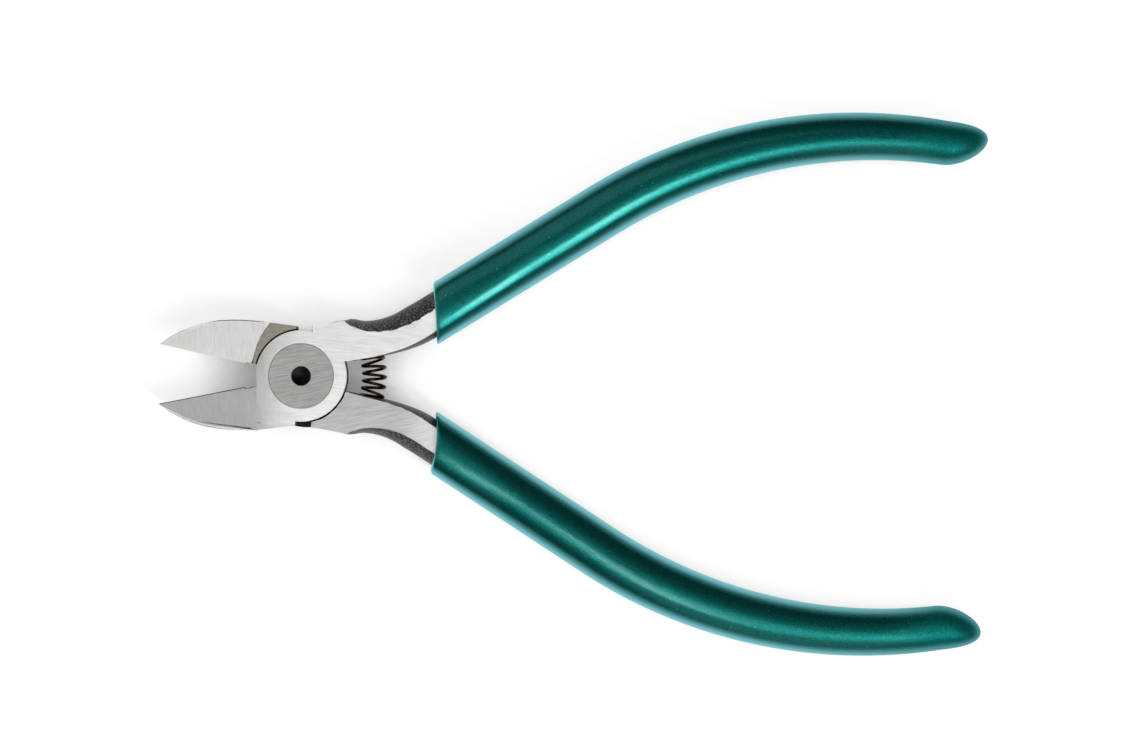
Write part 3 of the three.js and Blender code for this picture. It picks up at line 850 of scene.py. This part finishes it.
@dataclass
class GripSleeve:
    """A dip-moulded sleeve on one tang: a slanted mouth with a rounded lip, a taper and a blunt nose."""

    node: str
    body: Body
    piece_name: str
    turned_over: bool
    scallop_mm: float
    vinyl: PearlVinyl
    lip: PearlVinyl
    axis: HandleAxis = HandleAxis()
    start_mm: float = 19.05
    slant: float = 0.52
    slant_length_mm: float = 12.0
    mouth_width_mm: float = 8.1
    tail_width_mm: float = 6.5
    taper_power: float = 1.5
    mouth_height_mm: float = 8.6
    tail_height_mm: float = 7.8
    wall_mm: float = 0.9
    lip_mm: float = 0.25
    roundness: float = 2.4
    mouth_roundness: float = 2.9
    mouth_flare_mm: float = 0.3
    mouth_fade_mm: float = 16.0
    cavity_roundness: float = 3.0
    nose_mm: float = 6.2
    nose_shift_mm: float = 1.4
    nose_power: float = 1.7
    sides: int = 72
    lip_steps: int = 8
    length_steps: int = 150
    nose_steps: int = 20
    cavity_steps: int = 40

    def nose_start(self) -> float:
        """Gives where the nose begins, in millimetres along the axis."""
        return self.axis.length() - self.nose_mm

    def half_sizes(self, distance: float) -> tuple[float, float]:
        """Gives half the sleeve's width and height at a distance along the axis."""
        tail = self.axis.tail_start()
        share = min(1.0, max(0.0, (distance - tail) / (self.nose_start() - tail)))
        width = blend(self.mouth_width_mm, self.tail_width_mm, share**self.taper_power)
        height_share = smoothstep(distance, self.start_mm, self.nose_start())
        return width / 2, blend(self.mouth_height_mm, self.tail_height_mm, height_share) / 2

    def ring(self, distance: float, inset: float = 0.0) -> Ring:
        """Gives one ring of the sleeve's surface, squarer and a little higher towards the mouth.

        Args:
            distance: millimetres along the axis.
            inset: how far the ring lies inside the outer skin.

        Returns:
            The ring's points, in millimetres.
        """
        into = max(0.0, distance - self.nose_start()) / self.nose_mm
        near = 1 - smoothstep(distance, self.start_mm, self.start_mm + self.mouth_fade_mm)
        depth = inset / self.wall_mm
        half_width, half_height = (size - inset for size in self.half_sizes(distance))
        half_height += self.mouth_flare_mm * near * (1 - depth)
        skin = blend(self.roundness, self.mouth_roundness, near)
        power = 2 / blend(skin, self.cavity_roundness, depth)
        small = math.sqrt(max(0.0, 1 - into**2))
        fade = 1 - smoothstep(distance, self.start_mm, self.start_mm + self.slant_length_mm)
        points = []
        for i in range(self.sides):
            turn = 2 * math.pi * i / self.sides
            side = math.copysign(abs(math.sin(turn)) ** power, math.sin(turn))
            up = math.copysign(abs(math.cos(turn)) ** power, math.cos(turn))
            across = side * half_width * small
            hollow = self.scallop_mm * (1 - side**2) * max(0.0, -up if self.turned_over else up)
            along = distance + (self.slant * across + hollow) * fade
            shifted = across + self.nose_shift_mm * into**self.nose_power
            points.append(self.axis.beside(along, shifted, up * half_height * small))
        return points

    def build(self) -> Object:
        """Lofts the cavity, the rounded lip, the outer skin and the nose as one closed sleeve."""
        skin_start = self.start_mm + self.lip_mm
        cavity = even_steps(self.nose_start(), skin_start, self.cavity_steps)
        rings = [self.ring(at, self.wall_mm) for at in cavity]
        for turn in even_steps(0.0, math.pi, self.lip_steps)[1:-1]:
            inset = self.wall_mm * (1 + math.cos(turn)) / 2
            rings.append(self.ring(skin_start - self.lip_mm * math.sin(turn), inset))
        skin = even_steps(skin_start, self.nose_start(), self.length_steps)
        quarter = even_steps(0.0, math.pi / 2, self.nose_steps)[1:-1]
        skin += [self.nose_start() + self.nose_mm * math.sin(turn) for turn in quarter]
        rings += [self.ring(at) for at in skin]
        mesh = loft(self.piece_name, rings)
        # The lip's faces take the paler lip finish, a painted highlight
        lip_start = self.cavity_steps + self.lip_steps // 2
        for face in mesh.polygons:
            on_lip = lip_start <= face.index // self.sides < self.cavity_steps + self.lip_steps
            face.material_index = SleeveFace.LIP if on_lip else SleeveFace.SKIN
        if self.turned_over:
            lift = Matrix.Translation((0, 0, HEAD_THICKNESS * MM))
            mesh.transform(lift @ Matrix.Rotation(math.pi, 4, "X"))
        return link_object(self.piece_name, mesh)

    def dress(self, piece: Object) -> None:
        """Gives the sleeve its finishes, and puts it in its node's place."""
        finishes = {SleeveFace.SKIN: self.vinyl, SleeveFace.LIP: self.lip}
        for face in SleeveFace:
            piece.data.materials.append(finishes[face].material())
        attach(piece, self.body.value)
        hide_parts(self.node)


# Spring


@dataclass
class ReturnSpring:
    """The coil spring between the tangs, bent round the pivot, with closed ends in the tangs' sockets."""

    wire: TemperedWire
    arc_radius_mm: float = 10.65
    coil_mm: float = 3.75
    wire_mm: float = 0.45
    turns: float = 5.5
    closed_turns: float = 0.5
    pitch_mm: float = 1.27
    steps_per_turn: int = 40
    wire_sides: int = 12
    blend_reach_mm: float = 5.0

    def tree(self) -> Tree:
        """Builds the tree that winds the wire: a spiral, bent round the pivot and swept with a circle.

        Returns:
            The tree, with a named input for each size.
        """
        tree = bpy.data.node_groups.new("wound_spring", "GeometryNodeTree")
        interface = tree.interface
        interface.new_socket("Geometry", in_out="OUTPUT", socket_type="NodeSocketGeometry")
        sizes = ("Arc Radius", "Coil Radius", "Wire Radius", "Turns", "Closed Turns", "Pitch", "Height")
        counts = ("Steps per Turn", "Wire Sides")
        kinds = {"Float": sizes, "Int": counts, "Material": ("Wire",)}
        for kind, names in kinds.items():
            for name in names:
                interface.new_socket(name, in_out="INPUT", socket_type="NodeSocket" + kind)
        given = tree.nodes.new("NodeGroupInput").outputs

        def calculate(operation: str, first: Socket | float, second: Socket | float = 0.0) -> Socket:
            """Adds one sum to the tree and returns its result."""
            return add_node(tree, "ShaderNodeMath", {0: first, 1: second}, operation=operation).outputs[0]

        ends = calculate("MULTIPLY", given["Closed Turns"], 2.0)
        rotations = calculate("ADD", given["Turns"], ends)
        spiral = {
            "Resolution": given["Steps per Turn"],
            "Rotations": rotations,
            "Start Radius": given["Coil Radius"],
            "End Radius": given["Coil Radius"],
            "Height": rotations,
        }
        coil = add_node(tree, "GeometryNodeCurveSpiral", spiral).outputs["Curve"]
        place = add_node(tree, "GeometryNodeInputPosition").outputs[0]
        counted = add_node(tree, "ShaderNodeSeparateXYZ", {0: place}).outputs["Z"]
        half = calculate("DIVIDE", given["Turns"], 2.0)
        centred = calculate("SUBTRACT", counted, calculate("DIVIDE", rotations, 2.0))
        phase = calculate("MULTIPLY", centred, 2 * math.pi)
        least = calculate("MULTIPLY", half, -1.0)
        held = calculate("MAXIMUM", calculate("MINIMUM", centred, half), least)
        angle = calculate("DIVIDE", calculate("MULTIPLY", held, given["Pitch"]), given["Arc Radius"])
        swing = calculate("MULTIPLY", given["Coil Radius"], calculate("COSINE", phase))
        reach = calculate("ADD", given["Arc Radius"], swing)
        rise = calculate("MULTIPLY", given["Coil Radius"], calculate("SINE", phase))
        bent = {
            "X": calculate("MULTIPLY", reach, calculate("COSINE", angle)),
            "Y": calculate("MULTIPLY", reach, calculate("SINE", angle)),
            "Z": calculate("ADD", given["Height"], rise),
        }
        target = add_node(tree, "ShaderNodeCombineXYZ", bent).outputs[0]
        moved = add_node(tree, "GeometryNodeSetPosition", {"Geometry": coil, "Position": target}).outputs[0]
        section = {"Resolution": given["Wire Sides"], "Radius": given["Wire Radius"]}
        circle = add_node(tree, "GeometryNodeCurvePrimitiveCircle", section).outputs["Curve"]
        swept = {"Curve": moved, "Profile Curve": circle, "Fill Caps": True}
        tube = add_node(tree, "GeometryNodeCurveToMesh", swept).outputs[0]
        whole = add_node(tree, "GeometryNodeRealizeInstances", {0: tube}).outputs[0]
        dressed = add_node(tree, "GeometryNodeSetMaterial", {"Geometry": whole, "Material": given["Wire"]})
        add_node(tree, "NodeGroupOutput", {"Geometry": dressed.outputs[0]})
        return tree

    def build(self) -> Object:
        """Winds the spring and keeps the result as a plain mesh."""
        maker = link_object("spring_maker", bpy.data.meshes.new("spring_maker"))
        modifier = maker.modifiers.new("winding", "NODES")
        modifier.node_group = self.tree()
        sizes = {
            "Arc Radius": self.arc_radius_mm * MM,
            "Coil Radius": (self.coil_mm - self.wire_mm) / 2 * MM,
            "Wire Radius": self.wire_mm / 2 * MM,
            "Turns": self.turns,
            "Closed Turns": self.closed_turns,
            "Pitch": self.pitch_mm * MM,
            "Height": MID_HEIGHT * MM,
            "Steps per Turn": self.steps_per_turn,
            "Wire Sides": self.wire_sides,
            "Wire": self.wire.material(),
        }
        for item in modifier.node_group.interface.items_tree:
            if item.in_out == "INPUT":
                modifier[item.identifier] = sizes[item.name]
        graph = bpy.context.evaluated_depsgraph_get()
        mesh = bpy.data.meshes.new_from_object(maker.evaluated_get(graph), depsgraph=graph)
        bpy.data.objects.remove(maker)
        mesh.name = "return_spring_wound"
        mesh.shade_smooth()
        return link_object("return_spring_wound", mesh)

    def dress(self, piece: Object) -> None:
        """Keeps the spring's place in its mesh, tied to neither half, and hides the CAD spring."""
        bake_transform(piece)
        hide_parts("return_spring")


# Studio


@dataclass(frozen=True)
class Softbox:
    """A studio lamp that looks at the tool: where it hangs, its width, its depth and its glow."""

    name: str
    lean_deg: float
    azimuth_deg: float
    distance_m: float
    width_m: float
    depth_m: float
    glow: float

    def hang(self, target: Vector) -> None:
        """Hangs the lamp so that it looks at a point in metres."""
        lamp = bpy.data.lights.new(self.name, "AREA")
        lamp.shape = "RECTANGLE"
        lamp.size = self.width_m
        lamp.size_y = self.depth_m
        lamp.energy = self.glow * math.pi * self.width_m * self.depth_m
        lean, azimuth = math.radians(self.lean_deg), math.radians(self.azimuth_deg)
        flat = math.sin(lean)
        away = Vector((flat * math.cos(azimuth), flat * math.sin(azimuth), math.cos(lean)))
        holder = bpy.data.objects.new(self.name, lamp)
        holder.location = target + away * self.distance_m
        holder.rotation_mode = "QUATERNION"
        holder.rotation_quaternion = away.to_track_quat("Z", "Y")
        holder.visible_camera = False
        bpy.context.scene.collection.objects.link(holder)


@dataclass
class Studio:
    """White table, soft lamps, a pale room and a camera that looks straight down."""

    floor_colour: str = "#f7f7f7"
    floor_side_m: float = 6.0
    shadow_range_mm: Range = (13.0, 36.0)
    shadow_share: Range = (0.32, 0.1)
    # The table's glow is painted light, and the occlusion settings below paint its close shadow
    glow: Range = (0.76, 0.945)
    painted_shadow_reach_mm: float = 11.0
    painted_shadow_range: Range = (0.15, 0.6)
    painted_shadow_depth: float = 0.25
    painted_shadow_samples: int = 16
    horizon: float = 1.25
    horizon_front: float = 1.35
    ceiling: float = 0.07
    horizon_band: float = 0.3
    camera_height_m: float = 0.75
    sensor_mm: float = 36.0
    # Lean and azimuth in degrees, then distance, width and depth in metres, then glow
    lamps: tuple[Softbox, ...] = (
        Softbox("key_strip", 35.0, -46.0, 0.8, 0.075, 0.38, 41.0),
        Softbox("front_strip", 17.0, -101.0, 0.8, 0.06, 0.29, 16.5),
        Softbox("front_panel", 50.0, -93.0, 0.8, 0.4, 0.75, 0.9),
        Softbox("jaw_panel", 38.0, 192.0, 1.05, 0.6, 0.6, 1.1),
        Softbox("fill_panel", 36.0, 134.0, 1.0, 0.6, 0.95, 0.95),
    )

    def paper(self) -> Material:
        """Draws a white table whose glow is painted light, brighter towards the grip, with a painted shadow
        close to the tool and a share of the lamps' real shadows.
        """
        sheet = Sheet("matt_white_table")
        add = sheet.add
        sheet.set(Base_Color=linear(self.floor_colour), Roughness=0.9, Specular_IOR_Level=0.1)
        # Painted shadow: ambient occlusion darkens the table's glow where the tool lies close
        reach = {"Distance": self.painted_shadow_reach_mm * MM}
        near = add("ShaderNodeAmbientOcclusion", reach, samples=self.painted_shadow_samples).outputs["AO"]
        painted_contact_shadow = sheet.spread(near, self.painted_shadow_range, (self.painted_shadow_depth, 1.0))
        # Painted light: the glow rises towards the grip, where less of the lamps' real shadow is kept
        along = add("ShaderNodeSeparateXYZ", {0: sheet.place}).outputs["X"]
        level = sheet.spread(along, self.shadow_range_mm, self.glow)
        shade = add("ShaderNodeMath", {0: painted_contact_shadow, 1: level}, operation="MULTIPLY").outputs[0]
        glow = add("ShaderNodeEmission", {"Color": (1.0, 1.0, 1.0, 1.0), "Strength": shade}).outputs[0]
        share = sheet.spread(along, self.shadow_range_mm, self.shadow_share)
        soft = add("ShaderNodeMixShader", {0: share, 2: sheet.shader.outputs[0]}).outputs[0]
        lit = add("ShaderNodeAddShader", {0: soft, 1: glow}).outputs[0]
        path = add("ShaderNodeLightPath").outputs
        seen = {0: path["Is Camera Ray"], 1: path["Is Glossy Ray"]}
        either = add("ShaderNodeMath", seen, operation="MAXIMUM").outputs[0]
        through = {0: either, 1: path["Is Transmission Ray"]}
        shown = add("ShaderNodeMath", through, operation="MAXIMUM").outputs[0]
        mixed = add("ShaderNodeMixShader", {0: shown, 1: sheet.shader.outputs[0], 2: lit}).outputs[0]
        sheet.tree.links.new(mixed, sheet.tree.nodes["Material Output"].inputs["Surface"])
        return sheet.material

    def lay_floor(self) -> None:
        """Lays the table under the lowest point of the tool."""
        half = self.floor_side_m / 2
        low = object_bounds()[0].z
        corners = [(-half, -half, low), (half, -half, low), (half, half, low), (-half, half, low)]
        mesh = bpy.data.meshes.new("table")
        mesh.from_pydata(corners, [], [(0, 1, 2, 3)])
        floor = link_object("table", mesh)
        mesh.materials.append(self.paper())
        floor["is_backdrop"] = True

    def paint_room(self) -> None:
        """Paints the room white at the horizon, whitest in front of the tool, and dark above it."""
        room = bpy.data.worlds.new("studio_room")
        bpy.context.scene.world = room
        room.use_nodes = True
        tree = room.node_tree
        away = add_node(tree, "ShaderNodeTexCoord").outputs["Generated"]
        axes = add_node(tree, "ShaderNodeSeparateXYZ", {0: away}).outputs
        horizon_back = 2 * self.horizon - self.horizon_front
        sides = (self.horizon_front, horizon_back)
        white = map_range(tree, axes["Y"], (-1.0, 1.0), sides, smooth=False)
        level = map_range(tree, axes["Z"], (0.0, self.horizon_band), (white, self.ceiling))
        tree.links.new(level, tree.nodes["Background"].inputs["Color"])

    def set_camera(self) -> None:
        """Hangs the camera over the middle of the photograph, turned as the tool lies in it."""
        right = (PHOTO_WIDTH_PX / 2 - PIVOT_PX[0]) / PX_PER_MM
        up = (PIVOT_PX[1] - PHOTO_HEIGHT_PX / 2) / PX_PER_MM
        roll = -math.radians(TOOL_TILT_DEG)
        middle = Matrix.Rotation(roll, 2) @ Vector((right, up))
        data = bpy.data.cameras.new("copy_stand")
        data.sensor_width = self.sensor_mm
        data.sensor_fit = "HORIZONTAL"
        data.lens = self.sensor_mm * self.camera_height_m / (PHOTO_WIDTH_PX / PX_PER_MM * MM)
        camera = bpy.data.objects.new("copy_stand", data)
        camera.location = (middle.x * MM, middle.y * MM, MID_HEIGHT * MM + self.camera_height_m)
        camera.rotation_euler = (0.0, 0.0, roll)
        bpy.context.scene.collection.objects.link(camera)
        bpy.context.scene.camera = camera

    def build(self) -> None:
        """Sets up the table, the room, the lamps and the camera."""
        self.lay_floor()
        self.paint_room()
        target = (CAD_BOX[0] + CAD_BOX[1]) / 2
        for lamp in self.lamps:
            lamp.hang(target)
        self.set_camera()
        bpy.context.scene.view_settings.view_transform = "Standard"


# The tool's own finishes

# The front jaw's darker grey is painted shade, and its long jaw range fades that shade in over the head's
# left side
FRONT_STEEL = GroundSteel(
    "ground_tool_steel_front",
    head=Grain("#ececea", "#d9d8d6", angle_deg=4.0),
    jaw=Grain("#b4b3b3", "#a4a3a3", angle_deg=88.0),
    jaw_range_mm=(0.9, -8.8),
    roughness=(0.28, 0.38),
)
# The rear jaw's brighter colour is painted light, where its face tilts towards the key lamp
REAR_STEEL = GroundSteel(
    "ground_tool_steel_rear",
    head=Grain("#bdbdbb", "#a1a19f", angle_deg=-12.0),
    jaw=Grain("#e1dfdd", "#d0cecb", angle_deg=92.0),
    jaw_range_mm=(-1.0, -3.0),
    roughness=(0.3, 0.42),
)
RIVET_GRAIN = Grain("#a8a8a5", "#8c8c89", angle_deg=-11.0, length_mm=2.5)
RIVET_STEEL = PlainSteel("ground_rivet_steel", RIVET_GRAIN, roughness=(0.34, 0.46))
MILLED_GRAIN = Grain("#8f8d8a", "#6b6966", angle_deg=90.0, width_mm=0.3)
MILLED_STEEL = PlainSteel("milled_steel_walls", MILLED_GRAIN, roughness=(0.35, 0.5))
# The rolled backs are painted paler than the ground faces: a painted highlight along the jaws' backs
ROLLED_HIGHLIGHT_GRAIN = Grain("#f0f0ee", "#dcdbd9", angle_deg=90.0)
ROLLED_HIGHLIGHT_STEEL = PlainSteel("rolled_backs_painted_highlight", ROLLED_HIGHLIGHT_GRAIN, roughness=(0.3, 0.42))
TEMPER_GRAIN = Grain("#968f87", "#827b72", angle_deg=5.0, width_mm=0.2, length_mm=1.5)
TEMPER_SCALE = PlainSteel("temper_brown_scale", TEMPER_GRAIN, roughness=(0.4, 0.55))
FORGED_STEEL = ForgedScale(
    "oil_blackened_forging",
    dark="#242323",
    light="#a09d9a",
    grit_mm=0.22,
    grit_depth_mm=0.07,
    roughness=(0.38, 0.6),
)
# Near black for lap faces, the disc's walls and the rivet's bore: partly their own blackening, partly
# painted shade
RECESS_BLACK_AND_SHADE = ForgedScale(
    "oil_black_recess_painted_shade",
    dark="#0a0a0a",
    light="#1e1d1d",
    grit_mm=0.4,
    grit_depth_mm=0.01,
    roughness=(0.5, 0.6),
)
SPRING_STEEL = TemperedWire(
    "oil_tempered_wire",
    dark="#1b1512",
    bronze="#4a3328",
    patch_mm=0.8,
    roughness=0.32,
)
VINYL = PearlVinyl(
    "pearl_green_pvc",
    dark="#044d49",
    light="#056560",
    fleck="#318d83",
    # Pale rim colour: the pearl's shift of colour with angle, and a painted reflection of the white table
    flop_and_reflection="#80c2d2",
    gloss="#a8f2ea",
    grain_mm=0.2,
    grain_depth_mm=0.014,
    fleck_mm=0.5,
    fleck_share=0.03,
    flop_and_reflection_range=(0.2, 0.68),
    flop_and_reflection_share=(0.82, 0.45),
    reflection_fade_mm=(62.0, 94.0),
    metallic=0.85,
    roughness=(0.3, 0.52),
    coat=(0.22, 0.0),
    coat_roughness=0.16,
    nose_range_mm=(85.0, 95.0),
)
# The lip is painted paler: a painted highlight on its rounded edge
VINYL_LIP_HIGHLIGHT = replace(VINYL, name="pearl_green_pvc_lip_highlight", dark="#2f8b88", light="#46a8a4")


def main() -> None:
    """Builds the tool's pieces in order, then the studio."""
    logging.basicConfig(level=logging.INFO, format="%(name)s: %(message)s")
    halves = dict(
        forged=FORGED_STEEL,
        milled=MILLED_STEEL,
        scale=TEMPER_SCALE,
        recess=RECESS_BLACK_AND_SHADE,
        rolled=ROLLED_HIGHLIGHT_STEEL,
    )
    sleeves = dict(vinyl=VINYL, lip=VINYL_LIP_HIGHLIGHT)
    parts = [
        CutterHalf(
            "front_half",
            Body.FRONT,
            "front_half_ground",
            ground=FRONT_STEEL,
            jaw_side=-1.0,
            painted_shade_line=JawLine.EDGE,
            **halves,
        ),
        CutterHalf(
            "rear_half",
            Body.REAR,
            "rear_half_ground",
            ground=REAR_STEEL,
            jaw_side=1.0,
            painted_shade_line=JawLine.BACK,
            **halves,
        ),
        PivotRivet(RIVET_STEEL, RECESS_BLACK_AND_SHADE),
        ReturnSpring(SPRING_STEEL),
        GripSleeve("upper_grip", Body.FRONT, "upper_sleeve", turned_over=False, scallop_mm=0.1, **sleeves),
        GripSleeve("lower_grip", Body.REAR, "lower_sleeve", turned_over=True, scallop_mm=0.5, **sleeves),
    ]
    for part in parts:
        piece = part.build()
        part.dress(piece)
        log.info("%s: %d faces", piece.name, len(piece.data.polygons))
    Studio().build()


if __name__ == "__main__":
    main()
